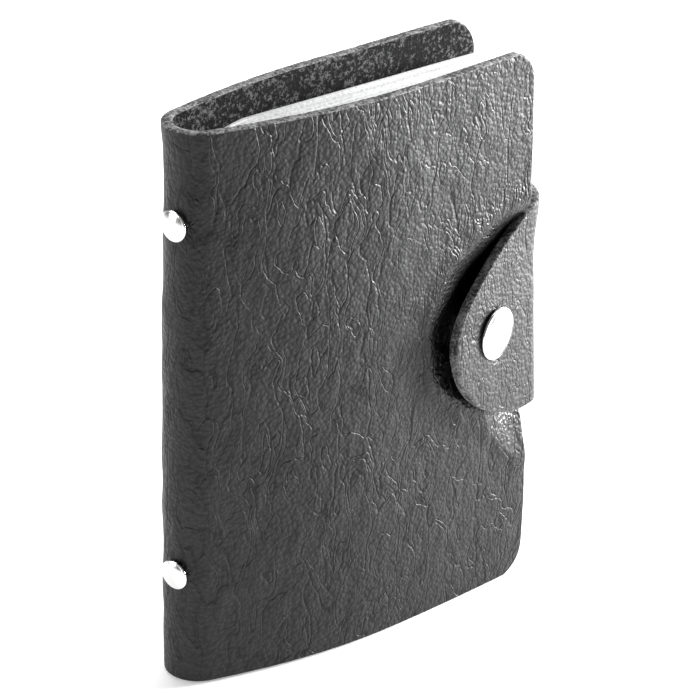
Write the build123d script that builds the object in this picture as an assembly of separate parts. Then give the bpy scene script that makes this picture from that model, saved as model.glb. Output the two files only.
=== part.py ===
from build123d import *
import os
from math import acos, atan2, cos, degrees, radians, sin, sqrt

# A business card case: one cut of leather folded round a spine, ten clear
# plastic sleeves fixed in the fold by two rivets, and a tab with a snap.
# It stands on its bottom edges with the spine at -X and the front at -Y.
# Everything is drawn from the outside of the spine (x = 0) on the middle
# plane (y = 0), and moved to the middle of the base at the very end.

# The leather cover, in millimetres.
case_height = 110.0
back_length = 76.5
front_length = 74.5
belly_thickness = 23.2
belly_at = 41.0
edge_sweep_radius = 500.0
spine_radius = 6.5
leather = 2.0
corner_radius = 6.5
hinge_gap = 0.3

# The hollow that the closed tab pulls into the front cover.
dimple_pull = 4.6
dimple_half_length = 25.0
dimple_half_height = 38.0
dimple_inset = 2.5

# The tab: it leaves the back cover, goes round the free edge and narrows.
tab_width = 40.0
tab_middle = 57.5
tab_bend_radius = 4.0
tab_slope = 14.0
tab_droop = 0.04
tab_reach = 23.0
upper_shares = (0.72, 0.36)
lower_shares = (0.89, 0.50)
tab_clearance = 0.1

# The snap: cap and socket on the tab, stud and post on the front cover.
snap_inset = 11.8
cap_radius = 5.2
cap_dome = 1.1
cap_rim = 0.5
stem_radius = 1.5
socket_radius = 4.6
socket_height = 2.2
socket_wall = 1.1
stud_radius = 2.9
stud_height = 2.4
stud_flange = 0.6
snap_air = 0.35
post_radius = 1.4
post_head_radius = 3.6
post_head = 0.5

# The sleeves and the strip that binds them.
sleeve_count = 10
sleeve_thickness = 0.60
sleeve_gap = 0.15
sleeve_height = 100.0
sleeve_base = 4.0
sleeve_start = 14.0
sleeve_edge_inset = 2.5
margin_thickness = 0.4
margin_pitch = 0.62
pocket_gap = 0.10
pocket_film = 0.15
pocket_weld = 1.5
stack_clearance = 0.6
post_clearance = 0.28
strip_depth = 2.4
strip_width = 7.0
strip_air = 0.1
root_gap = 0.1

# The rivets through the spine.
rivet_spacing = 69.4
rivet_middle = 57.8
rivet_cap_radius = 3.0
rivet_cap_dome = 0.9
rivet_cap_seat = 1.0
rivet_post_radius = 1.2
rivet_head_radius = 2.4
rivet_head = 0.7
rivet_fit = 0.05

# Sizes that follow from the ones above.
belly_half = belly_thickness / 2
run = belly_at - spine_radius
sweep_radius = (run**2 + belly_half**2 - spine_radius**2) / (2 * (belly_half - spine_radius))
sweep_centre = (belly_at, belly_half - sweep_radius)
edge_centre = (belly_at, belly_half - edge_sweep_radius)
spine_centre = (spine_radius, 0)
junction = degrees(atan2(-sweep_centre[1], -run))


def at(centre, radius, angle):
    """Point at an angle on a circle."""
    return (centre[0] + radius * cos(radians(angle)), centre[1] + radius * sin(radians(angle)))


def arc(centre, radius, start, stop):
    """Arc of a circle between two angles."""
    middle = (start + stop) / 2
    return ThreePointArc(*(at(centre, radius, angle) for angle in (start, middle, stop)))


def band(arcs):
    """Leather in plan: the outer arcs, and the same arcs one thickness further in."""
    outer = [arc(centre, radius, start, stop) for centre, radius, start, stop in arcs]
    inner = [arc(centre, radius - leather, start, stop) for centre, radius, start, stop in arcs]
    ends = [Line(outer[0] @ 0, inner[0] @ 0), Line(outer[-1] @ 1, inner[-1] @ 1)]
    return make_face(outer + inner + ends)


def tall(face, low, height):
    """A plan outline made into a standing solid."""
    return extrude(Pos(0, 0, low) * face, amount=height, dir=(0, 0, 1))


def edge_angle(length):
    """Where a cover of this length ends on the arc behind the belly."""
    return degrees(acos((length - belly_at) / edge_sweep_radius))


def sweep_height(x):
    """Half the thickness of the closed case, outside, behind the belly."""
    return edge_centre[1] + sqrt(edge_sweep_radius**2 - (x - belly_at) ** 2)


# The sleeves stand against the back cover, and the hollow goes no deeper than
# the post of the snap allows in front of them.
pitch = sleeve_thickness + sleeve_gap
leaf_end = front_length - sleeve_edge_inset
sleeve_length = leaf_end - sleeve_start
stack_back = belly_half - (sleeve_start - belly_at) ** 2 / (2 * sweep_radius) - leather - stack_clearance
stack_front = stack_back - (sleeve_count - 1) * pitch - sleeve_thickness
snap_rise = dimple_pull * ((snap_inset - dimple_inset) / dimple_half_length) ** 2
post_reach = leather + post_head * cos(radians(tab_slope)) + post_head_radius * sin(radians(tab_slope))
dimple_room = sweep_height(front_length - dimple_inset) + stack_front + snap_rise - post_reach - post_clearance
dimple_depth = min(dimple_pull, dimple_room)


def panel(length, start):
    """A cover from the spine to its free edge, with rounded free corners."""
    plan = band([
        (sweep_centre, sweep_radius, start, 90),
        (edge_centre, edge_sweep_radius, 90, edge_angle(length)),
    ])
    solid = tall(plan, 0, case_height)
    free_end = solid.edges().filter_by(lambda edge: abs(edge.length - leather) < 0.01)
    return fillet(free_end.sort_by(Axis.X)[-2:], corner_radius)


parts = {}

# The spine is the bend of the leather between the two covers.
parts["spine"] = tall(band([(spine_centre, spine_radius, junction, 360 - junction)]), 0, case_height)

# The back cover is notched where the root of the tab starts to bend.
tab_angle = edge_angle(back_length - leather)
root_centre = at(edge_centre, edge_sweep_radius - tab_bend_radius, tab_angle)
tab_low = tab_middle - tab_width / 2
tab_outside = root_centre[0] + tab_bend_radius
notch_turn = Pos(*root_centre, tab_middle) * Rot(0, 0, tab_angle - 90)
notch = notch_turn * Pos(back_length / 2) * Box(
    back_length, 4 * tab_bend_radius, tab_width + 2 * hinge_gap
)
root_bend = tall(band([(root_centre, tab_bend_radius, tab_angle, tab_angle / 2)]), tab_low, tab_width)
parts["back_cover"] = (panel(back_length, junction) - notch) + root_bend

# The front cover starts one gap after the spine, and turns on its outer face there.
front_start = junction - degrees(hinge_gap / sweep_radius)
cover_pivot = at(sweep_centre, sweep_radius, front_start)
flat_front = mirror(panel(front_length, front_start), about=Plane.XZ)

# The dimple is a shallow bowl as thick as the leather, pressed in from outside.
dimple_at = (front_length - dimple_inset, -sweep_height(front_length - dimple_inset))
bowl_radius = (dimple_half_length**2 + dimple_depth**2) / (2 * dimple_depth)
bowl_stretch = dimple_half_height / dimple_half_length
bowl_place = Pos(dimple_at[0], dimple_at[1] + dimple_depth - bowl_radius, tab_middle)


def bowl(radius):
    """A ball stretched to the height of the dimple."""
    return bowl_place * scale(Sphere(radius), by=(1, 1, bowl_stretch))


free_edge_x = at(edge_centre, edge_sweep_radius, edge_angle(front_length))[0]
inside = tall(
    mirror(
        make_face([
            arc(sweep_centre, sweep_radius, front_start, 90),
            arc(edge_centre, edge_sweep_radius, 90, edge_angle(front_length)),
            Line(at(edge_centre, edge_sweep_radius, edge_angle(front_length)), (free_edge_x, 0)),
            Line((free_edge_x, 0), (cover_pivot[0], 0)),
            Line((cover_pivot[0], 0), cover_pivot),
        ]),
        about=Plane.XZ,
    ),
    0,
    case_height,
)
pressed = (bowl(bowl_radius + leather) - bowl(bowl_radius)) & inside
front_cover = (flat_front - bowl(bowl_radius)) + pressed

# The flap stands off the dimple by the height of the closed snap.
snap_x = front_length - snap_inset
dimple_here = (snap_x - dimple_at[0]) / bowl_radius
snap_seat_y = dimple_at[1] + dimple_depth - bowl_radius * (1 - sqrt(1 - dimple_here**2))
flap_out = Vector(sin(radians(tab_slope)), -cos(radians(tab_slope)), 0)
flap_along = Vector(-cos(radians(tab_slope)), -sin(radians(tab_slope)), 0)
snap_height = tab_middle - tab_droop * snap_inset
snap_seat = Vector(snap_x, snap_seat_y, snap_height)
tab_corner_rise = bowl_radius * (1 - sqrt(1 - (tab_width / 2 / bowl_stretch / bowl_radius) ** 2))
tab_corner = Vector(front_length, dimple_at[1] + dimple_depth - tab_corner_rise, snap_height)
snap_stack = max(
    stud_flange + stud_height + snap_air, (tab_corner - snap_seat).dot(flap_out) + tab_clearance
)
snap_inner = snap_seat + flap_out * snap_stack
flap_level = (snap_inner + flap_out * leather).dot(flap_out)
fold_x = tab_outside - tab_bend_radius
fold_y = (fold_x * flap_out.X - (flap_level - tab_bend_radius)) / -flap_out.Y
fold_centre = (fold_x, fold_y)
fold_middle = (tab_slope - 90) / 2
gap_turn = degrees(hinge_gap / tab_bend_radius)

# The side of the tab runs from the middle of one bend to the middle of the next.
side_top = at(root_centre, tab_bend_radius, 0)
side_low = at(fold_centre, tab_bend_radius, 0)
side_plan = (
    band([(root_centre, tab_bend_radius, tab_angle / 2 - gap_turn, 0)])
    + make_face(Polyline(
        side_top,
        side_low,
        (side_low[0] - leather, side_low[1]),
        (side_top[0] - leather, side_top[1]),
        side_top,
    ))
    + band([(fold_centre, tab_bend_radius, 0, fold_middle)])
)
parts["tab_side"] = tall(side_plan, tab_low, tab_width)
root_pivot = at(root_centre, tab_bend_radius, tab_angle / 2 - gap_turn)

# The flap is the other half of the fold, and a tongue that narrows and droops.
fold_pivot = at(fold_centre, tab_bend_radius, fold_middle - gap_turn)
fold_half = tall(
    band([(fold_centre, tab_bend_radius, fold_middle - gap_turn, tab_slope - 90)]), tab_low, tab_width
)
flap_start = Vector(*fold_centre, tab_middle) + flap_out * tab_bend_radius
flap_plane = Plane(origin=flap_start, x_dir=flap_along, z_dir=-flap_out)
up = 1 if flap_plane.y_dir.Z > 0 else -1


def tongue(along, half_width):
    """A point of the tongue, which droops a little and is fuller below than above."""
    return (along, up * (half_width - tab_droop * along))


tongue_edge = Spline(
    tongue(0, tab_width / 2),
    tongue(0.42 * tab_reach, upper_shares[0] * tab_width / 2),
    tongue(0.85 * tab_reach, upper_shares[1] * tab_width / 2),
    tongue(tab_reach, 0),
    tongue(0.85 * tab_reach, -lower_shares[1] * tab_width / 2),
    tongue(0.42 * tab_reach, -lower_shares[0] * tab_width / 2),
    tongue(0, -tab_width / 2),
)
tongue_face = make_face([tongue_edge, Line(tongue_edge @ 1, tongue_edge @ 0)])
flap = fold_half + extrude(flap_plane * tongue_face, amount=leather)

# The snap's four pieces share one line square to the flap.
snap_plane = Plane(origin=snap_inner, z_dir=flap_out)


def turned(*steps):
    """Stacked round steps along the snap's line: radius, from, to."""
    solid = None
    for radius, low, high in steps:
        step = Pos(0, 0, (low + high) / 2) * Cylinder(radius, high - low)
        solid = step if solid is None else solid + step
    return snap_plane * solid


def dome(radius, height):
    """A cap of a ball on a round base."""
    ball = (radius**2 + height**2) / (2 * height)
    return Pos(0, 0, height - ball) * Sphere(ball) & Pos(0, 0, height / 2) * Cylinder(radius, height)


cap_top = snap_plane * (Pos(0, 0, leather + cap_rim) * dome(cap_radius, cap_dome))
stem_low = -socket_height / 3
parts["snap_cap"] = turned((cap_radius, leather, leather + cap_rim), (stem_radius, 0, leather)) + cap_top
parts["tab_flap"] = flap - turned((stem_radius + rivet_fit, -leather, 2 * leather))
parts["snap_socket"] = turned((socket_radius, -socket_height, 0)) - turned(
    (socket_radius - socket_wall, -socket_height, stem_low)
)
seat = -snap_stack
stud = turned(
    (socket_radius, seat - leather, seat + stud_flange),
    (stud_radius, seat + stud_flange, stem_low - snap_air),
)
post_hole = turned((post_radius + rivet_fit, seat - 3 * leather, seat + leather))
parts["front_cover"] = front_cover - post_hole
outside_cover = front_cover & turned((2 * socket_radius, seat - 3 * leather, seat + leather))
stud_seat = stud - outside_cover
parts["snap_stud"] = stud_seat.solids().sort_by(lambda piece: piece.center().Y)[0]
post_depth = seat - leather / cos(radians(tab_slope))
post = turned(
    (post_radius, post_depth - post_head, seat),
    (post_head_radius, post_depth - post_head, seat),
)
post_body = (post - outside_cover) - parts["snap_stud"]
shank = (turned((post_radius, post_depth, seat)) & outside_cover) - parts["snap_stud"]
head = post_body.solids().sort_by(lambda piece: piece.center().Y)[-1]
parts["snap_post"] = (head - parts["front_cover"]) + shank

# The binding strip fills the bottom of the fold, and the rivets clamp it there.
strip_low = leather + strip_air
fold_inside = Pos(spine_radius, 0, sleeve_base + sleeve_height / 2) * Cylinder(
    spine_radius - leather - strip_air, sleeve_height
)
strip = Pos(strip_low + strip_depth / 2, 0, sleeve_base + sleeve_height / 2) * Box(
    strip_depth, strip_width, sleeve_height
)
strip = strip & fold_inside
strip_end = strip_low + strip_depth
rivet_heights = {"lower": rivet_middle - rivet_spacing / 2, "upper": rivet_middle + rivet_spacing / 2}


def across(radius, low, high, height):
    """A round bar along X."""
    return Pos((low + high) / 2, 0, height) * Rot(0, 90, 0) * Cylinder(radius, high - low)


spine = parts["spine"]
for name, height in rivet_heights.items():
    cap = Pos(0, 0, height) * Rot(0, -90, 0) * dome(rivet_cap_radius, rivet_cap_dome)
    cap = cap + across(rivet_cap_radius, 0, rivet_cap_seat, height)
    parts["rivet_cap_" + name] = cap - spine
    hole = across(rivet_post_radius + rivet_fit, 0, strip_end + leather, height)
    recess = across(rivet_head_radius + rivet_fit, strip_end - rivet_head, strip_end + leather, height)
    post = across(rivet_post_radius, 0, strip_end, height)
    post = post + across(rivet_head_radius, strip_end - rivet_head, strip_end, height)
    parts["rivet_post_" + name] = post - parts["rivet_cap_" + name]
    parts["spine"] = parts["spine"] - hole
    strip = strip - hole - recess
parts["binding_strip"] = strip

# Each sleeve is a flat leaf with two open-topped pockets, on a thin margin
# that curves out from the binding strip. Sleeve 1 lies against the back cover.
root_x = strip_end + root_gap
root_back = margin_pitch * (sleeve_count - 1) / 2
for index in range(sleeve_count):
    y = stack_back - sleeve_thickness / 2 - index * pitch
    root_y = root_back - index * margin_pitch
    leaf = Pos(sleeve_start + sleeve_length / 2, y, sleeve_base + sleeve_height / 2) * Box(
        sleeve_length, sleeve_thickness, sleeve_height
    )
    for side in (-1, 1):
        offset = side * (sleeve_thickness / 2 - pocket_film - pocket_gap / 2)
        pocket_middle = sleeve_base + sleeve_height / 2 + pocket_weld
        leaf -= Pos(sleeve_start + sleeve_length / 2, y + offset, pocket_middle) * Box(
            sleeve_length - 2 * pocket_weld, pocket_gap, sleeve_height
        )
    curve = [
        Spline((root_x, root_y + half), (sleeve_start, y + half), tangents=[(1, 0), (1, 0)])
        for half in (-margin_thickness / 2, margin_thickness / 2)
    ]
    ends = [Line(curve[0] @ end, curve[1] @ end) for end in (0, 1)]
    leaf += tall(make_face(curve + ends), sleeve_base, sleeve_height)
    parts[f"sleeve_{index + 1:02d}"] = leaf

# Everything is moved so that the middle of the base is the origin.
whole = Compound(children=[Compound(solid.solids()) for solid in parts.values()]).bounding_box()
shift = Pos(-(whole.min.X + whole.max.X) / 2, -(whole.min.Y + whole.max.Y) / 2, 0)
os.makedirs("parts", exist_ok=True)
for name, solid in parts.items():
    export_step(shift * Compound(solid.solids()), f"parts/{name}.step")

print("size", [round(value, 2) for value in whole.size])
pivots = {"cover": (cover_pivot[0], -cover_pivot[1]), "tab_side": root_pivot, "tab_flap": fold_pivot}
for index in range(sleeve_count):
    pivots[f"sleeve_{index + 1:02d}"] = (root_x, root_back - index * margin_pitch)
for name, (x, y) in pivots.items():
    print("pivot", name, round(x + shift.position.X, 3), round(y + shift.position.Y, 3))
print("origin", round(shift.position.X, 3), round(shift.position.Y, 3))
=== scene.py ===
import bpy
import numpy as np
from mathutils import Matrix, Vector


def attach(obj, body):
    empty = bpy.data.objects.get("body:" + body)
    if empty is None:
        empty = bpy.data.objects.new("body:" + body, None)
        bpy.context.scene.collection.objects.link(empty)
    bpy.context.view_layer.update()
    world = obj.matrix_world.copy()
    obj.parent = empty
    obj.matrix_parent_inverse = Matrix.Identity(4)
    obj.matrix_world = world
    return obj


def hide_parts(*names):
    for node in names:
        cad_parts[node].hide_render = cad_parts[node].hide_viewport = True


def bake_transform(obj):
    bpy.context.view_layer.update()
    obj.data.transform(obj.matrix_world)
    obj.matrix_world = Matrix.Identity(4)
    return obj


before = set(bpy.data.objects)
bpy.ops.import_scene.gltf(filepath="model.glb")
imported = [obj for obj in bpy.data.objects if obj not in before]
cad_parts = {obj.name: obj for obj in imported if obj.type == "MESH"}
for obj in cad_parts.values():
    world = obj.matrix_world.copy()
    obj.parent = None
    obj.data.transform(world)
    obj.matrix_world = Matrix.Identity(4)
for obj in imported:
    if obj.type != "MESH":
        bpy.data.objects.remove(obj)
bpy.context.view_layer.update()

# ------------------------------------------------------------ leather cover
# One cut of black grained leather, about 2 mm thick, folded round the spine.
# Its cut edges are raw, and the closed tab pulls a hollow into the front.
MM = 0.001
origin = np.array([-38.666, 1.623, 0.0])
thickness = 2.0
height = 110.0
back_end = 80.44
front_end = 78.44
tab_seam = 78.74
corner = 6.5
tab_middle = 57.5
tab_half = 20.0
spine_turn = np.radians(106.82)
hollow_middle = (75.0, 60.0)
hollow_half_length = 26.5
hollow_half_above = 21.5
hollow_depth = 4.6
hollow_lip = 0.3
back_flare = 2.0

# Each arc of the plan: centre, radius, first angle and how far it turns.
back_edge_turn = np.arcsin(35.5 / 500)
arcs = np.array([
    (41.0, -488.4, 500.0, np.pi / 2 - back_edge_turn, back_edge_turn),
    (41.0, -114.141, 125.741, np.pi / 2, spine_turn - np.pi / 2),
    (6.5, 0.0, 6.5, spine_turn, 2 * (np.pi - spine_turn)),
    (41.0, 114.141, 125.741, 2 * np.pi - spine_turn, spine_turn - np.pi / 2),
    (41.0, 488.4, 500.0, 1.5 * np.pi, np.arcsin(33.5 / 500)),
])
arc_starts = np.concatenate([[0.0], np.cumsum(arcs[:, 2] * arcs[:, 4])])
arc_starts = arc_starts - (arc_starts[2] + arc_starts[3]) / 2


def ease(value, low=0.0, high=1.0):
    """0 below low, 1 above high, and a smooth step in between."""
    t = np.clip((value - low) / (high - low), 0, 1)
    return t * t * (3 - 2 * t)


def plan(s):
    """Plan of the outer face at arc length s from the middle of the spine, to the
    back below 0 and to the front above 0: point and outward normal on five arcs."""
    index = np.clip(np.searchsorted(arc_starts, s) - 1, 0, len(arcs) - 1)
    x, y, radius, first = (arcs[index, column] for column in range(4))
    angle = first + (s - arc_starts[index]) / radius
    normal = np.stack([np.cos(angle), np.sin(angle)], -1)
    return np.stack([x, y], -1) + radius[..., None] * normal, normal


def ripple(s, z, seed, size, count=14):
    """Soft uneven waves of about this size: a sum of cosines in random directions."""
    rng = np.random.default_rng(seed)
    total = np.zeros(np.broadcast(s, z).shape)
    for _ in range(count):
        way = rng.uniform(0, np.pi)
        phase = rng.uniform(0, 6.28)
        length = size * rng.uniform(0.7, 1.8)
        total += np.cos((s * np.cos(way) + z * np.sin(way)) * 6.283 / length + phase)
    return total / np.sqrt(count)


def cover_point(s, z, depth):
    """A point of the cover: the plan's arc, this deep under the outer face, moved by the
    hollow under the tab, the leaning free edge, the set of the spine's foot and the
    flared back."""
    point, normal = plan(s)
    swell = 0.10 * ripple(s, z, 3, 16.0) + 0.05 * ripple(s * 1.6, z * 0.7, 5, 6.0)
    swell = swell * ease(z, 0, 12) * ease(-z, -height, 12 - height)
    rim = 0.6 * np.exp(-((height - z) / 6) ** 2) * np.exp(-(s / 14) ** 2)
    point = point + (swell + rim - depth)[..., None] * normal
    x, y = point[..., 0], point[..., 1]
    foot = (1 - np.clip(z / 105, 0, 1) ** 1.5) * np.exp(-(s / 22) ** 2)
    x = x - 2.6 * foot
    y = y + 1.4 * foot
    lean = ease(s, 38, 80) * ease(z, 20, 105)
    x = x - 0.4 * lean
    y = y + 1.3 * lean
    below = 25.0 + 9.0 * ease(x, 60, 74)
    half_height = np.where(z > hollow_middle[1], hollow_half_above, below)
    reach = np.hypot((x - hollow_middle[0]) / hollow_half_length, (z - hollow_middle[1]) / half_height)
    reach = reach + 0.015 * ripple(s, z, 8, 9.0)
    front = s > 20
    y = y + front * hollow_depth * (1 - ease(reach, 0.45, 1.0))
    y = y - front * hollow_lip * np.exp(-((reach - 1.03) / 0.07) ** 2)
    y = y + back_flare * ease(-s, 45, 82)
    return np.stack([x, y, z], -1)


def leather_sheet(name, s, z, place, seams):
    """A closed sheet of leather: an outer grid, an inner grid one thickness in, and
    rings round the cut edge that bulge a little. seams marks outline points whose
    edge stays flat, because another sheet continues there."""
    columns, rows = s.shape
    number = np.arange(columns * rows).reshape(columns, rows)
    loop = np.concatenate([number[:, 0], number[-1, 1:], number[-2::-1, -1], number[0, -2:0:-1]])
    outline = np.stack([s.ravel()[loop], z.ravel()[loop]], -1)
    along = np.roll(outline, -1, 0) - np.roll(outline, 1, 0)
    outward = np.stack([along[:, 1], -along[:, 0]], -1)
    outward /= np.linalg.norm(outward, axis=1, keepdims=True)
    free = 1.0 - seams(outline)
    jagged = 1 + 0.35 * ripple(outline[:, 0] * 6, outline[:, 1] * 6, 21, 4.0)
    rings, flats = [], []
    ring_steps = ((0.12, 0.16), (0.4, 0.27), (1.0, 0.30), (1.6, 0.26), (1.9, 0.14))
    for ring_depth, bulge in ring_steps:
        edge = outline + outward * (bulge * free * np.clip(jagged, 0.4, 1.0))[:, None]
        rings.append(place(edge[:, 0], edge[:, 1], np.full(len(loop), ring_depth)))
        flats.append(edge)
    faces = [place(s, z, np.full(s.shape, depth)).reshape(-1, 3) for depth in (0.0, thickness)]
    points = np.concatenate(faces + rings)
    flat = np.stack([s.ravel(), z.ravel()], -1)
    laid = np.concatenate([flat, flat] + flats)
    grid = np.stack([number[:-1, :-1], number[1:, :-1], number[1:, 1:], number[:-1, 1:]], -1).reshape(-1, 4)
    inner = grid[:, ::-1] + columns * rows
    count = len(loop)
    ring_loops = [2 * columns * rows + k * count + np.arange(count) for k in range(len(ring_steps))]
    chains = [loop] + ring_loops + [loop + columns * rows]
    quads = [
        np.stack([low, high, np.roll(high, -1), np.roll(low, -1)], -1)
        for low, high in zip(chains[:-1], chains[1:])
    ]
    around = np.concatenate(quads)
    mesh = bpy.data.meshes.new(name)
    mesh.from_pydata(((points + origin) * MM).tolist(), [], np.concatenate([grid, inner, around]).tolist())
    mesh.shade_smooth()
    kinds = np.repeat([0, 2, 1], [len(grid), len(inner), len(around)]).astype(np.int32)
    mesh.polygons.foreach_set("material_index", kinds)
    attribute = mesh.attributes.new("laid_flat", "FLOAT_VECTOR", "POINT")
    attribute.data.foreach_set("vector", np.column_stack([laid, 0 * laid[:, :1]]).astype(np.float32).ravel())
    ends = np.empty(2 * len(mesh.edges), np.int32)
    mesh.edges.foreach_get("vertices", ends)
    flat_edge = np.zeros(len(points), bool)
    for chain in (chains[0], chains[-1]):
        flat_edge[chain[free == 0]] = True
    both = flat_edge[ends.reshape(-1, 2)].all(1)
    sharp = mesh.attributes.get("sharp_edge") or mesh.attributes.new("sharp_edge", "BOOLEAN", "EDGE")
    sharp.data.foreach_set("value", both)
    made = bpy.data.objects.new(name, mesh)
    bpy.context.scene.collection.objects.link(made)
    return made


class Wire:
    """An output socket in a node tree. The operators + - * / on it add Math nodes."""

    def __init__(self, tree, socket=None):
        self.tree, self.socket = tree, socket

    def node(self, kind, settings=(), sockets=(), out=0):
        """Adds a node of this type: its settings, then each socket's value or link."""
        made = self.tree.nodes.new("ShaderNode" + kind)
        for key, value in dict(settings).items():
            setattr(made, key, value)
        for key, value in dict(sockets).items():
            if isinstance(value, Wire):
                self.tree.links.new(value.socket, made.inputs[key])
            else:
                made.inputs[key].default_value = value
        return Wire(self.tree, made.outputs[out])

    def maths(self, operation, first, second):
        return self.node("Math", {"operation": operation}, {0: first, 1: second})

    def __add__(self, other):
        return self.maths("ADD", self, other)

    def __radd__(self, other):
        return self.maths("ADD", other, self)

    def __sub__(self, other):
        return self.maths("SUBTRACT", self, other)

    def __rsub__(self, other):
        return self.maths("SUBTRACT", other, self)

    def __mul__(self, other):
        return self.maths("MULTIPLY", self, other)

    def __rmul__(self, other):
        return self.maths("MULTIPLY", other, self)

    def __truediv__(self, other):
        return self.maths("DIVIDE", self, other)

    def __rtruediv__(self, other):
        return self.maths("DIVIDE", other, self)


def step(value, low, high):
    """A smooth step from 0 at low to 1 at high, or the other way round."""
    sockets = {"Value": value, "From Min": low, "From Max": high}
    return value.node("MapRange", {"interpolation_type": "SMOOTHSTEP"}, sockets)


def stretched(place, by):
    """Texture coordinates multiplied along each axis."""
    return place.node("VectorMath", {"operation": "MULTIPLY"}, {0: place, 1: by})


def noise(place, scale, detail=2.0, roughness=0.5, out="Fac"):
    """Fractal noise at texture coordinates."""
    sockets = {"Vector": place, "Scale": scale, "Detail": detail, "Roughness": roughness}
    return place.node("TexNoise", {}, sockets, out)


def shifted(place, cloud, amount):
    """Texture coordinates pushed about by a coloured noise."""
    centred = place.node("VectorMath", {"operation": "SUBTRACT"}, {0: cloud, 1: (0.5, 0.5, 0.5)})
    pushed = place.node("VectorMath", {"operation": "SCALE"}, {0: centred, "Scale": amount})
    return place.node("VectorMath", {"operation": "ADD"}, {0: place, 1: pushed})


def finish_of(name, build):
    """A material: build(start, surface) adds its nodes and returns nothing."""
    material = bpy.data.materials.new(name)
    material.use_nodes = True
    tree = material.node_tree
    surface = tree.nodes["Principled BSDF"]
    build(Wire(tree), surface)
    return material


def link(wire, socket):
    """Connects a wire to a socket of the surface."""
    wire.tree.links.new(wire.socket, socket)


def blend_colour(factor, first, second):
    """Mixes two colours."""
    sockets = {0: factor, 6: first, 7: second}
    return factor.node("Mix", {"data_type": "RGBA"}, sockets, 2)


def raised(height_wire, surface):
    """Bump from a height in millimetres."""
    sockets = {"Height": height_wire, "Distance": MM, "Strength": 1.0}
    bump = height_wire.node("Bump", {}, sockets)
    link(bump, surface.inputs["Normal"])


def grain_side(start, surface):
    """Pebbled grain under long branching creases, with painted shade in the creases and between
    the pebbles, and in the hollow by the tab painted shade (a near-black colour) and a smoother finish."""
    flat = start.node("Attribute", {"attribute_name": "laid_flat"}, {}, "Vector")
    drift = noise(stretched(flat, (1.0, 0.45, 1.0)), 0.11, out="Color")
    bent = shifted(flat, drift, 8.0)
    wobble = noise(stretched(flat, (1.0, 0.6, 1.0)), 0.45, out="Color")
    bent = shifted(bent, wobble, 0.8)

    def crease(across, along, width, patch_scale, low, high):
        """Lines between tall cells, fading out in patches."""
        cells = stretched(bent, (1 / across, 1 / along, 1.0))
        sockets = {"Vector": cells, "Scale": 1.0, "Randomness": 0.9}
        edge = flat.node("TexVoronoi", {"feature": "DISTANCE_TO_EDGE"}, sockets, "Distance")
        patch = noise(flat, patch_scale)
        return (1 - step(edge, 0.0, width)) * step(patch, low, high)

    long_crease = crease(6.5, 34.0, 0.060, 0.05, 0.30, 0.48)
    fork_crease = crease(4.2, 17.0, 0.070, 0.07, 0.46, 0.58)
    fine_crease = crease(2.4, 6.0, 0.08, 0.08, 0.48, 0.64)
    sockets = {"Vector": shifted(flat, wobble, 0.5), "Scale": 1.35, "Smoothness": 0.35}
    pebble = flat.node("TexVoronoi", {"feature": "SMOOTH_F1"}, sockets, "Distance")
    pores = noise(flat, 2.6, 3.0)
    soft = noise(stretched(flat, (1.0, 0.4, 1.0)), 0.22)
    folds = long_crease * 0.10 + fork_crease * 0.06 + fine_crease * 0.02
    raised(soft * 0.26 - folds - pebble * 0.16 + pores * 0.03, surface)
    # Painted shade: in the hollow by the tab the base colour goes near black, standing in for the tab's
    # shadow; the roughness also drops there.
    centred = flat.node("VectorMath", {"operation": "SUBTRACT"}, {0: flat, 1: (77.0, 58.0, 0.0)})
    scaled = stretched(centred, (1 / 29, 1 / 28, 0.0))
    reach = flat.node("VectorMath", {"operation": "LENGTH"}, {0: scaled}, "Value")
    hollow = 1 - step(reach + soft * 0.1, 0.84, 1.08)
    # Painted shade: the base colour darkens in the creases and between the pebbles, where shade falls.
    crease_painted_shade = step(pebble * 0.7 + folds * 6.0, 0.15, 0.95)
    grain = blend_colour(crease_painted_shade, (0.014, 0.014, 0.015, 1), (0.002, 0.002, 0.002, 1))
    tone = blend_colour(hollow, grain, (0.0006, 0.0006, 0.0006, 1))
    link(tone, surface.inputs["Base Color"])
    gloss = 0.37 + pores * 0.10 + pebble * 0.14 - hollow * 0.14
    link(gloss, surface.inputs["Roughness"])
    surface.inputs["Specular IOR Level"].default_value = 0.27


def cut_side(start, surface):
    """The raw cut through the leather: packed grey and black fibres."""
    place = start.node("TexCoord", {}, {}, "Object")
    fibre = noise(place, 1900.0, 4.0, 0.7)
    clump = noise(place, 420.0)
    packed = step(fibre * 0.7 + clump * 0.3, 0.42, 0.60)
    tone = blend_colour(packed, (0.02, 0.02, 0.021, 1), (0.27, 0.27, 0.27, 1))
    link(tone, surface.inputs["Base Color"])
    surface.inputs["Roughness"].default_value = 0.85
    raised(fibre * 0.35 + clump * 0.25, surface)


def flesh_side(start, surface):
    """The napped back of the leather: dark dyed fibres with pale specks where they stand up."""
    place = start.node("TexCoord", {}, {}, "Object")
    nap = noise(place, 1300.0, 5.0, 0.75)
    mottle = noise(place, 300.0, 3.0)
    raised_nap = step(nap * 0.8 + mottle * 0.2, 0.50, 0.60)
    tone = blend_colour(raised_nap, (0.001, 0.001, 0.001, 1), (0.11, 0.11, 0.113, 1))
    link(tone, surface.inputs["Base Color"])
    surface.inputs["Roughness"].default_value = 0.95
    surface.inputs["Specular IOR Level"].default_value = 0.2
    raised(nap * 0.5 + mottle * 0.2, surface)


leather = [
    finish_of("black grained leather", grain_side),
    finish_of("raw cut leather", cut_side),
    finish_of("leather flesh side", flesh_side),
]


def dressed(piece, materials):
    """Gives a piece its materials."""
    for material in materials:
        piece.data.materials.append(material)
    return piece


def rounded_end(z, length):
    """Where the free edge is at height z: the full length, less the rounded corner."""
    off = np.clip(np.maximum(corner - z, z - (height - corner)), 0, corner)
    return length - corner + np.sqrt(corner**2 - off**2)


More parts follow.
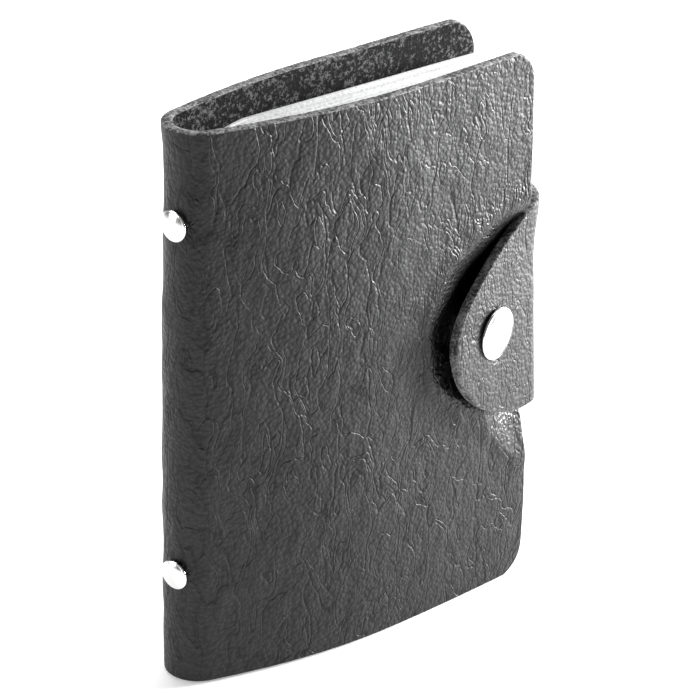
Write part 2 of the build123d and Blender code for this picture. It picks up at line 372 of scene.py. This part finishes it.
edge_room = 0.3
rows = 150
low_rows = corner * (1 - np.cos(np.linspace(0, np.pi / 2, 16)))
middle_rows = np.linspace(corner, height - corner, rows - 30)[1:-1]
z_rows = np.concatenate([low_rows, middle_rows, height - low_rows[::-1]])
z_rows = edge_room + z_rows * (height - 2 * edge_room) / height
notch = 1 - ease(np.abs(z_rows - tab_middle), tab_half - 0.05, tab_half + 1.4)
back_line = -(rounded_end(z_rows, back_end) + (tab_seam - back_end) * notch)
front_line = rounded_end(z_rows, front_end)
share = np.concatenate([
    np.linspace(0, 0.42, 80)[:-1],
    np.linspace(0.42, 0.60, 61)[:-1],
    np.linspace(0.60, 1, 150),
])
s_grid = back_line[None, :] + share[:, None] * (front_line - back_line)[None, :]
z_grid = np.broadcast_to(z_rows, s_grid.shape)


def tab_side_seam(outline):
    """1 on the part of the back free edge where the tab continues."""
    at_root = np.abs(outline[:, 1] - tab_middle) < tab_half + 0.02
    return ((outline[:, 0] < -70) & at_root).astype(float)


cover = leather_sheet("leather_cover", s_grid, z_grid, cover_point, tab_side_seam)
dressed(cover, leather)
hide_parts("back_cover", "spine", "front_cover")
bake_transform(cover)

# ------------------------------------------------------------ tab
# The tab is cut in one with the back cover. It goes round the free edge with
# two soft bends and ends in a rounded flap that hangs a little towards its tip.
bend = 4.0
root_bend = (74.23, 6.486)
fold_bend = (74.23, -5.35)
root_turn = np.radians(86.16)
fold_turn = np.radians(76.0)
lengths = np.cumsum([0.0, bend * root_turn, root_bend[1] - fold_bend[1], bend * fold_turn])
flap_reach = 23.6
flap_droop = 0.04
flap_twist = 2.8
upper_power, lower_power = 1.15, 0.57
root_lift = 1.9


def tab_plan(w):
    """Plan of the tab's outer face at length w from its root: bend, straight side, bend,
    straight flap."""
    stretches = [w < lengths[1], w < lengths[2], w < lengths[3]]
    turns = [root_turn - w / bend, 0 * w, -(w - lengths[2]) / bend]
    turn = np.select(stretches, turns, -fold_turn)
    normal = np.stack([np.cos(turn), np.sin(turn)], -1)
    side_y = np.clip(root_bend[1] - (w - lengths[1]), fold_bend[1], None)
    centre_y = np.where(w < lengths[1], root_bend[1], side_y)
    base = np.stack([np.full(w.shape, root_bend[0]), centre_y], -1) + bend * normal
    past = np.clip(w - lengths[3], 0, None)
    along = np.array([np.sin(-fold_turn), -np.cos(fold_turn)])
    return base + past[..., None] * along, normal


def tab_point(s, z, depth):
    """A point of the tab. s goes on from the back cover's arc length, so the grain runs through."""
    w = -s - tab_seam
    point, normal = tab_plan(w)
    out = -depth + 0.05 * ripple(s, z, 3, 12.0) * ease(w, 1, 6)
    past = np.clip(w - lengths[3], 0, None)
    point = point + out[..., None] * normal
    x, y = point[..., 0], point[..., 1]
    y = y + root_lift * (1 - ease(w, 0, 9.0)) - flap_twist * (tab_middle - z) / 44 * ease(w, 6, 16)
    top = tab_middle + tab_half - z
    flare = np.exp(-((top / 5.0) ** 2)) * ease(w, 3, 12) * (1 - ease(w, 18, 27))
    x = x + 1.7 * flare
    rise = np.exp(-((top / 7.0) ** 2)) * ease(w, 2, 9) * (1 - ease(w, 16, 24))
    z = z - flap_droop * past + 2.2 * rise
    return np.stack([x, y, z], -1)


def at_ends(low, high):
    """Marks the outline points that lie on the sheet's first or last seam line."""
    def mark(outline):
        off = np.minimum(np.abs(outline[:, 0] + low), np.abs(outline[:, 0] + high))
        return (off < 1e-3).astype(float)
    return mark


side_seam = lengths[1] + 6.0
across = tab_half * np.sin(np.linspace(-np.pi / 2, np.pi / 2, 91))
along_side = tab_seam + np.linspace(0, side_seam, 61)
side_s, side_z = np.meshgrid(-along_side[::-1], tab_middle + across, indexing="ij")
side_ends = at_ends(tab_seam, tab_seam + side_seam)
tab_side = leather_sheet("tab_side_leather", side_s, side_z, tab_point, side_ends)
dressed(tab_side, leather)
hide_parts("tab_side")
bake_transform(tab_side)

# Past the fold the outline slopes in from above and is fuller below.
power = np.where(across > 0, upper_power, lower_power)
flap_end = lengths[3] + flap_reach * (1 - (across / tab_half) ** 2) ** power
flap_share = np.linspace(0, 1, 111)
flap_w = side_seam + flap_share[:, None] * (flap_end - side_seam)[None, :]
flap_s = -(tab_seam + flap_w)[::-1]
flap_z = np.broadcast_to(tab_middle + across, flap_s.shape)
flap = leather_sheet("tab_flap_leather", flap_s, flap_z, tab_point, at_ends(tab_seam + side_seam, 1e9))
dressed(flap, leather)
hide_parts("tab_flap")
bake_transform(flap)

# ------------------------------------------------------------ snap cap
# A pressed nickel cap on the flap: a shallow dome with a rolled rim. The flap
# is turned a little towards the free edge, so its metal faces that way too.
snap_out = np.array([np.sin(np.radians(16)), -np.cos(np.radians(16)), 0.0])


def turned_shape(name, profile, foot, out, steps=96):
    """A closed surface of revolution: a profile of radius and height, turned about an
    axis that stands on foot and points out, with a vertex at each pole."""
    profile = np.array(profile)
    radii, heights = profile.T
    if (radii * np.roll(heights, -1) - np.roll(radii, -1) * heights).sum() < 0:
        profile = profile[::-1]
    angle = np.linspace(0, 2 * np.pi, steps, endpoint=False)
    out = np.array(out) / np.linalg.norm(out)
    side = np.cross(out, (0, 0, 1.0))
    side /= np.linalg.norm(side)
    up = np.cross(side, out)
    round_way = np.cos(angle)[:, None] * side + np.sin(angle)[:, None] * up
    body = profile[1:-1]
    points = body[:, None, :1] * round_way[None] + body[:, None, 1:] * out
    poles = profile[[0, -1], 1:] * out
    points = np.concatenate([points.reshape(-1, 3), poles]) + foot
    number = np.arange(len(body) * steps).reshape(len(body), steps)
    low, high = number[:-1], number[1:]
    quads = np.stack([low, high, np.roll(high, -1, 1), np.roll(low, -1, 1)], -1).reshape(-1, 4)
    first, last = len(body) * steps, len(body) * steps + 1
    near = np.stack([np.roll(number[0], -1), np.full(steps, first), number[0]], -1)
    far = np.stack([number[-1], np.full(steps, last), np.roll(number[-1], -1)], -1)
    mesh = bpy.data.meshes.new(name)
    mesh.from_pydata(((points + origin) * MM).tolist(), [], quads.tolist() + near.tolist() + far.tolist())
    mesh.shade_smooth()
    made = bpy.data.objects.new(name, mesh)
    bpy.context.scene.collection.objects.link(made)
    return made


def cap_profile(radius, seat, rim, dome):
    """From the middle of the dome out, over the rolled rim and back under to the seat's middle."""
    t = np.linspace(0, 1, 22)
    top = [(radius * 0.93 * a, rim + dome * (1 - a**2.4)) for a in t]
    roll = np.linspace(0, np.pi, 11)[1:]
    lip = [(radius * 0.93 + radius * 0.07 * np.sin(a), rim / 2 + rim / 2 * np.cos(a)) for a in roll]
    return top + lip + [(radius * 0.90, 0.0), (radius * 0.5, seat), (0.0, seat)]


def nickel(start, surface):
    """Bright nickel plate with faint handling scratches."""
    place = start.node("TexCoord", {}, {}, "Object")
    scratch = noise(stretched(place, (1, 6, 1)), 700.0, 4.0)
    haze = noise(place, 260.0)
    surface.inputs["Metallic"].default_value = 1.0
    tone = blend_colour(haze, (0.70, 0.70, 0.70, 1), (0.80, 0.80, 0.79, 1))
    link(tone, surface.inputs["Base Color"])
    link(0.10 + scratch * 0.14, surface.inputs["Roughness"])
    raised(scratch * 0.01, surface)


nickel_plate = [finish_of("nickel plate", nickel)]
snap_w, snap_z = lengths[3] + 11.3, 56.8
snap_foot = tab_point(np.array([-(tab_seam + snap_w)]), np.array([snap_z]), np.array([0.1]))[0]
cap = turned_shape("snap_cap_metal", cap_profile(5.2, -0.4, 0.7, 0.9), snap_foot, snap_out)
dressed(cap, nickel_plate)
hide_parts("snap_cap")
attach(cap, "tab_flap_body")

# ------------------------------------------------------------ snap, inside
# The spring socket is clinched through the flap by the cap. The stud stands on
# the front cover and is riveted by a post whose flat head lies inside.
socket_foot = snap_foot - (thickness + 0.05) * snap_out
socket_profile = [
    (0, 0), (3.2, 0), (4.3, 0.1), (4.6, 0.4), (4.6, 1.9), (4.3, 2.2),
    (3.6, 2.2), (3.35, 1.9), (3.25, 1.4), (3.4, 0.9), (0, 0.9),
]
socket = turned_shape("snap_socket_metal", socket_profile, socket_foot, -snap_out)
dressed(socket, nickel_plate)
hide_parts("snap_socket")
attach(socket, "tab_flap_body")

s_line = np.linspace(55, 78, 400)
level_line = np.full(400, snap_foot[2])
inside_out = np.array([0.06, -0.998, 0.0])
line = cover_point(s_line, level_line, np.zeros(400))
side_way = np.array([-inside_out[1], inside_out[0], 0.0])
seat = np.abs((line - socket_foot) @ side_way).argmin()
stud_foot = line[seat]
stud_profile = [
    (0, -0.3), (4.4, -0.3), (4.5, 0.2), (4.2, 0.5), (2.9, 0.65),
    (2.7, 1.0), (2.75, 1.5), (2.5, 1.9), (1.6, 2.05), (0, 2.05),
]
stud = turned_shape("snap_stud_metal", stud_profile, stud_foot, inside_out)
dressed(stud, nickel_plate)
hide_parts("snap_stud")
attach(stud, "front_cover_body")
head_foot = cover_point(s_line[seat:seat + 1], level_line[:1], np.array([thickness]))[0]
head = turned_shape("snap_post_head", cap_profile(3.6, 0.1, 0.25, 0.2), head_foot, -inside_out)
dressed(head, nickel_plate)
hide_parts("snap_post")
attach(head, "front_cover_body")

# ------------------------------------------------------------ rivet caps
# Two small domed caps hold the spine, the strip and the sleeves together.
# They sit slightly towards the front, where the spine's foot has set over.
for name, place, turn in (("lower", (-2.2, -0.85, 23.2), 195), ("upper", (-0.5, -1.15, 92.5), 191)):
    out = np.array([np.cos(np.radians(turn)), np.sin(np.radians(turn)), 0.0])
    foot = np.array(place) + 0.1 * out
    rivet = turned_shape(f"rivet_{name}_metal", cap_profile(2.9, -0.6, 0.45, 0.6), foot, out, 72)
    dressed(rivet, nickel_plate)
    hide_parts(f"rivet_cap_{name}")
    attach(rivet, "root")
for name in ("rivet_post_lower", "rivet_post_upper"):
    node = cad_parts[name]
    node.data.materials.clear()
    node.data.materials.append(nickel_plate[0])


# ------------------------------------------------------------ binding strip
# A strip of black moulded plastic in the fold, which the sleeves are welded to.
def moulded(start, surface):
    """Black plastic with a fine even texture."""
    place = start.node("TexCoord", {}, {}, "Object")
    speck = noise(place, 1500.0, 3.0)
    tone = blend_colour(speck, (0.012, 0.012, 0.013, 1), (0.03, 0.03, 0.032, 1))
    link(tone, surface.inputs["Base Color"])
    link(0.42 + speck * 0.2, surface.inputs["Roughness"])
    raised(speck * 0.05, surface)


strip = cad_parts["binding_strip"]
strip.data.materials.clear()
strip.data.materials.append(finish_of("black moulded plastic", moulded))

# ------------------------------------------------------------ sleeves
# Ten clear plastic sleeves. Each is three films welded along the bottom and the
# sides of the leaf, with both pockets open at the top, and wide enough for a card
# because they start in the curve that leads back to the binding strip.
leaf_start, pocket_start, leaf_end = 22.0, 15.5, 73.8
sleeve_low, sleeve_high = 4.0, 104.0
stack_back, sleeve_pitch = 7.56, 0.90
root_back, root_pitch = 2.79, 0.62
root_x = 4.6


def film_side(start, surface):
    """Milky clear vinyl with a weld line round the pocket and faint ripples."""
    flat = start.node("Attribute", {"attribute_name": "laid_flat"}, {}, "Vector")
    parts = flat.node("SeparateXYZ", {}, {0: flat}, "X")
    cloud = noise(flat, 0.12, 3.0)
    fine = noise(flat, 1.4)
    weld = 1 - step(flat.node("Math", {"operation": "ABSOLUTE"}, {0: parts - 17.1}), 0.25, 0.55)
    tone = blend_colour(cloud, (0.95, 0.955, 0.96, 1), (0.985, 0.985, 0.985, 1))
    link(tone, surface.inputs["Base Color"])
    link(0.22 + fine * 0.12 + weld * 0.25, surface.inputs["Roughness"])
    surface.inputs["Transmission Weight"].default_value = 0.15
    surface.inputs["IOR"].default_value = 1.46
    raised(cloud * 0.25 + fine * 0.03 + weld * 0.08, surface)


vinyl = [finish_of("clear vinyl", film_side)]


def film(run, level, y_of, half):
    """One film as a closed thin sheet: front and back grids and one ring of edge quads."""
    columns, count = run.shape
    number = np.arange(columns * count).reshape(columns, count)
    loop = np.concatenate([number[:, 0], number[-1, 1:], number[-2::-1, -1], number[0, -2:0:-1]])
    x, y = run, y_of(run, level)
    front = np.stack([x, y - half, level], -1).reshape(-1, 3)
    back = np.stack([x, y + half, level], -1).reshape(-1, 3)
    grid = np.stack([number[:-1, :-1], number[1:, :-1], number[1:, 1:], number[:-1, 1:]], -1).reshape(-1, 4)
    other = grid[:, ::-1] + columns * count
    far = loop + columns * count
    edge = np.stack([loop, far, np.roll(far, -1), np.roll(loop, -1)], -1)
    return np.concatenate([front, back]), np.concatenate([grid, other, edge])


for index in range(10):
    leaf_y = stack_back - sleeve_pitch * index
    hinge_y = root_back - root_pitch * index

    def middle(run, level):
        """The film's plan: an S from the strip to the leaf, then straight, with a slow wave."""
        rise = ease(run, root_x, leaf_start)
        wave = 0.02 * ripple(run + 50 * index, level, 40 + index, 40.0, 5) * rise
        return hinge_y + (leaf_y - hinge_y) * rise + wave

    def cheek(side):
        """An outer film: welded at the leaf's sides and bottom, a little open at the top."""
        def y_of(run, level):
            near = ease(run, pocket_start + 0.8, pocket_start + 5)
            far = ease(-run, -leaf_end + 0.8, -leaf_end + 5)
            mouth = near * far * ease(level, sleeve_low + 1, sleeve_low + 8)
            return middle(run, level) + side * (0.185 + 0.11 * mouth)
        return y_of

    sheets = []
    levels = np.linspace(sleeve_low, sleeve_high - 0.3 * (index % 3), 41)
    films = (
        (root_x, middle, 0.11),
        (pocket_start, cheek(1), 0.075),
        (pocket_start, cheek(-1), 0.075),
    )
    for start_x, y_of, half in films:
        run, level = np.meshgrid(np.linspace(start_x, leaf_end, 61), levels, indexing="ij")
        sheets.append(film(run, level, y_of, half))
    offsets = np.cumsum([0] + [len(points) for points, _ in sheets[:-1]])
    points = np.concatenate([points for points, _ in sheets])
    faces = np.concatenate([face + offset for (_, face), offset in zip(sheets, offsets)])
    name = f"sleeve_{index + 1:02d}"
    mesh = bpy.data.meshes.new(name + "_film")
    mesh.from_pydata(((points + origin) * MM).tolist(), [], faces.tolist())
    mesh.shade_flat()
    attribute = mesh.attributes.new("laid_flat", "FLOAT_VECTOR", "POINT")
    attribute.data.foreach_set("vector", points[:, [0, 2, 1]].astype(np.float32).ravel())
    piece = bpy.data.objects.new(name + "_film", mesh)
    bpy.context.scene.collection.objects.link(piece)
    dressed(piece, vinyl)
    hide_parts(name)
    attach(piece, name + "_body")


# ------------------------------------------------------------ floor
# A plain white sweep under and behind the case.
def paper(start, surface):
    """White studio paper, lit through from below."""
    place = start.node("TexCoord", {}, {}, "Object")
    tooth = noise(place, 60.0)
    tone = blend_colour(tooth, (0.93, 0.93, 0.93, 1), (0.96, 0.96, 0.96, 1))
    link(tone, surface.inputs["Base Color"])
    surface.inputs["Roughness"].default_value = 0.9
    surface.inputs["Emission Color"].default_value = (1, 1, 1, 1)
    surface.inputs["Emission Strength"].default_value = 0.3


floor_mesh = bpy.data.meshes.new("floor")
half_floor = 6.0
floor_drop = -0.0003
corners = ((-1, -1), (1, -1), (1, 1), (-1, 1))
floor_points = [(half_floor * x, half_floor * y, floor_drop) for x, y in corners]
floor_mesh.from_pydata(floor_points, [], [(0, 1, 2, 3)])
floor = bpy.data.objects.new("floor", floor_mesh)
floor.data.materials.append(finish_of("white paper", paper))
bpy.context.scene.collection.objects.link(floor)

# ------------------------------------------------------------ light
# Soft boxes in a pale room: a wide one above, one on the right, one behind left.
world = bpy.data.worlds.new("pale room")
bpy.context.scene.world = world
world.use_nodes = True
world.node_tree.nodes["Background"].inputs["Color"].default_value = (1, 1, 1, 1)
world.node_tree.nodes["Background"].inputs["Strength"].default_value = 0.25
soft_boxes = (
    ("above", (0.30, 0.40, 0.95), (0.0, 0.0, 0.05), 1.1, 12.0),
    ("right", (0.64, -0.20, 0.16), (0.04, 0.0, 0.06), 0.26, 22.0),
    ("left", (-0.60, 0.22, 0.20), (-0.03, 0.0, 0.06), 0.25, 1.6),
)
for name, place, aim, size, power in soft_boxes:
    light = bpy.data.lights.new(name, "AREA")
    light.shape = "SQUARE"
    light.size = size
    light.energy = power
    lamp = bpy.data.objects.new(name, light)
    lamp.location = place
    lamp.rotation_euler = (Vector(aim) - Vector(place)).to_track_quat("-Z", "Y").to_euler()
    bpy.context.scene.collection.objects.link(lamp)

# ------------------------------------------------------------ camera
# Seen from the spine side, a little above the case.
camera_data = bpy.data.cameras.new("camera")
camera_data.lens = 128.57
camera_data.sensor_width = 36.0
camera_data.shift_x = 40 / 700
camera_data.clip_start = 0.01
camera = bpy.data.objects.new("camera", camera_data)
camera.location = (-0.25638, -0.32049, 0.2684)
camera.rotation_euler = Vector((0.5408, 0.7050, -0.4586)).to_track_quat("-Z", "Y").to_euler()
bpy.context.scene.collection.objects.link(camera)
bpy.context.scene.camera = camera
bpy.context.scene.view_settings.view_transform = "Standard"
